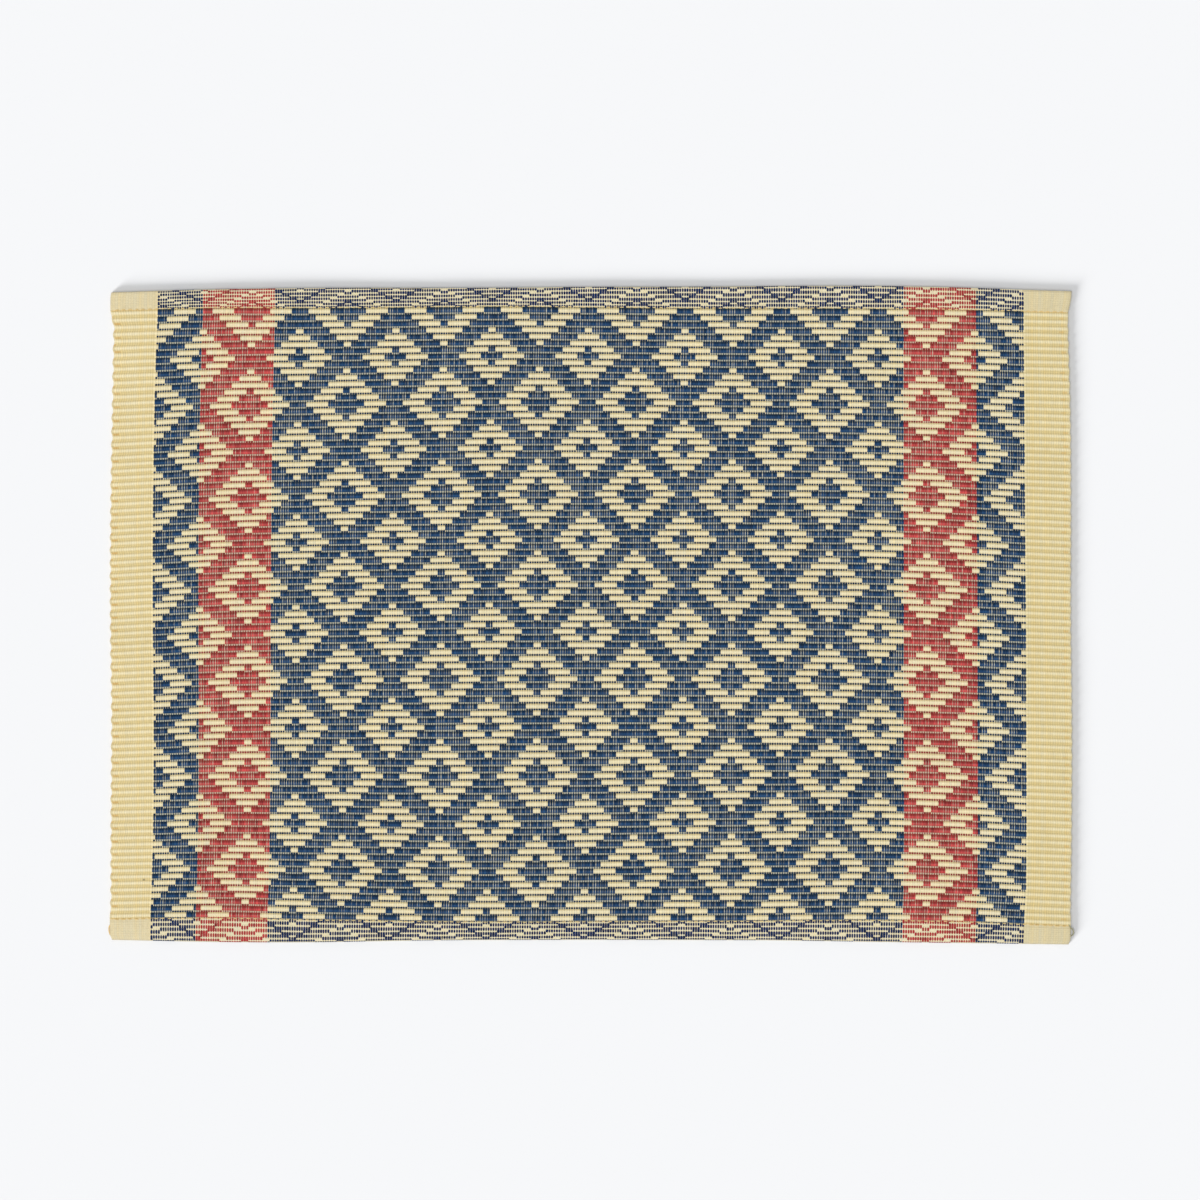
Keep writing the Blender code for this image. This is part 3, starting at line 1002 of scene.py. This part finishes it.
STITCH_PITCH = 3.4
STITCH_LENGTH = 2.1
STITCH_RADIUS = 0.27
STITCH_POINTS = 6
STITCH_MARGIN = 2      # bare cloth at each end of a seam
STITCH_OFFSET = 0.18   # how far out from the seam the stitches lie
STITCH_STRAY_X = 0.12
STITCH_STRAY_Y = 0.06
STITCH_SLANT = 0.1
STITCH_UNEVEN = 0.08
STITCH_SINK = 0.7      # how far a stitch's ends go down into the cloth
STITCH_WAVE = 0.8      # how much of the cloth's waves they follow
BORDER_STITCHES = 6    # at each end of a seam, that lie higher than the rest
BORDER_LIFT = 0.35
PATTERN_LIFT = 0.1


def seam_stitches(fold):
    """A row of stitches sunk in the seam, each a short arch of thread."""
    left, right = edges_x(fold.seam)
    paths = []
    length_sewn = right - left - 2 * STITCH_MARGIN
    count = int(length_sewn / STITCH_PITCH)
    for number in range(count):
        x = left + STITCH_MARGIN + (number + 0.5) * length_sewn / count + rng.normal(0, STITCH_STRAY_X)
        length = STITCH_LENGTH * (1 + rng.normal(0, STITCH_UNEVEN))
        steps = np.linspace(-0.5, 0.5, STITCH_POINTS)
        across = (x + steps * length - left) / (right - left)
        y = rib_line_y(across, fold.seam) + fold.side * STITCH_OFFSET + rng.normal(0, STITCH_STRAY_Y)
        y = y + steps * rng.normal(0, STITCH_SLANT)
        in_border = min(number, count - 1 - number) < BORDER_STITCHES
        lift = BORDER_LIFT if in_border else PATTERN_LIFT
        z = SEAM_TOP + lift - STITCH_SINK * (2 * steps) ** 4 + waves(x, y.mean()) * STITCH_WAVE
        paths.append((np.stack([x + steps * length, y, z], 1), STITCH_RADIUS))
    return paths


LOOSE_RADIUS = 0.32
LOOSE_POINTS = 28


def thread_end(*places):
    """The loose end of a sewing thread: a smooth path through a few places, and its radius."""
    along = np.linspace(0, 1, LOOSE_POINTS)
    return np.stack([smooth(axis, along) for axis in zip(*places)], 1), LOOSE_RADIUS


# At the near hem's ends the sewing thread turns back: an ochre one along the left end, a grey loop off the
# right
ochre_end = thread_end(
    (-249.4, -160.6, 1.9), (-250.6, -161.6, 1.5), (-250.9, -163.8, 1.0), (-250.4, -166.4, 0.5))
grey_end = thread_end(
    (248.4, -160.2, 2.6), (249.5, -162.2, 2.0), (251.0, -163.8, 1.1), (251.1, -165.8, 0.7),
    (249.4, -167.4, 0.5))
stitches = [thread_piece("stitches_far", seam_stitches(FAR_FOLD), thread),
            thread_piece("stitches_near", seam_stitches(NEAR_FOLD), thread),
            thread_piece("thread_end_left", [ochre_end], ochre_thread),
            thread_piece("thread_end_right", [grey_end], grey_thread)]

# The floor
FLOOR_SIZE = 8.0
FLOOR_COLOUR = (0.566, 0.571, 0.581, 1.0)
bpy.ops.mesh.primitive_plane_add(size=FLOOR_SIZE)
floor = bpy.context.object
floor.name = "floor"
floor_material, _, floor_shader = plain_shader("floor", roughness=0.9, specular=0.1, sheen=0.0)
floor_shader.inputs["Base Color"].default_value = FLOOR_COLOUR
floor.data.materials.append(floor_material)

# The camera looks straight down, so that the frame is 0.624 m wide at the cloth's top
SENSOR_WIDTH = 36.0
LENS = 115.2
CAMERA_PLACE = (0.0047, 0.0081, 2.0)
camera_data = bpy.data.cameras.new("camera")
camera_data.sensor_width = SENSOR_WIDTH
camera_data.lens = LENS
camera = bpy.data.objects.new("camera", camera_data)
camera.location = CAMERA_PLACE
bpy.context.scene.collection.objects.link(camera)
bpy.context.scene.camera = camera


def soft_sun(name, energy, angle, tilt, heading):
    """A soft light from one side: how wide it is, how far it leans from straight above, and its heading."""
    data = bpy.data.lights.new(name, "SUN")
    data.energy = energy
    data.angle = angle
    sun = bpy.data.objects.new(name, data)
    sun.rotation_euler = (tilt, 0.0, heading)
    bpy.context.scene.collection.objects.link(sun)
    return sun


# A broad soft light from above, a low one that lights the floor alone, to draw the cloth's shadow on it,
# and an even sky
SKY_STRENGTH = 0.525
soft_sun("soft_light", energy=1.74, angle=0.9, tilt=0.30, heading=-0.80)
low = soft_sun("floor_light", energy=6.4, angle=0.32, tilt=1.28, heading=-0.80)
lit_floor = bpy.data.collections.new("lit_floor")
lit_floor.objects.link(floor)
low.light_linking.receiver_collection = lit_floor
world = bpy.data.worlds.new("sky")
world.use_nodes = True
world.node_tree.nodes["Background"].inputs["Color"].default_value = (1.0, 1.0, 1.0, 1.0)
world.node_tree.nodes["Background"].inputs["Strength"].default_value = SKY_STRENGTH
bpy.context.scene.world = world
bpy.context.scene.view_settings.view_transform = "Standard"
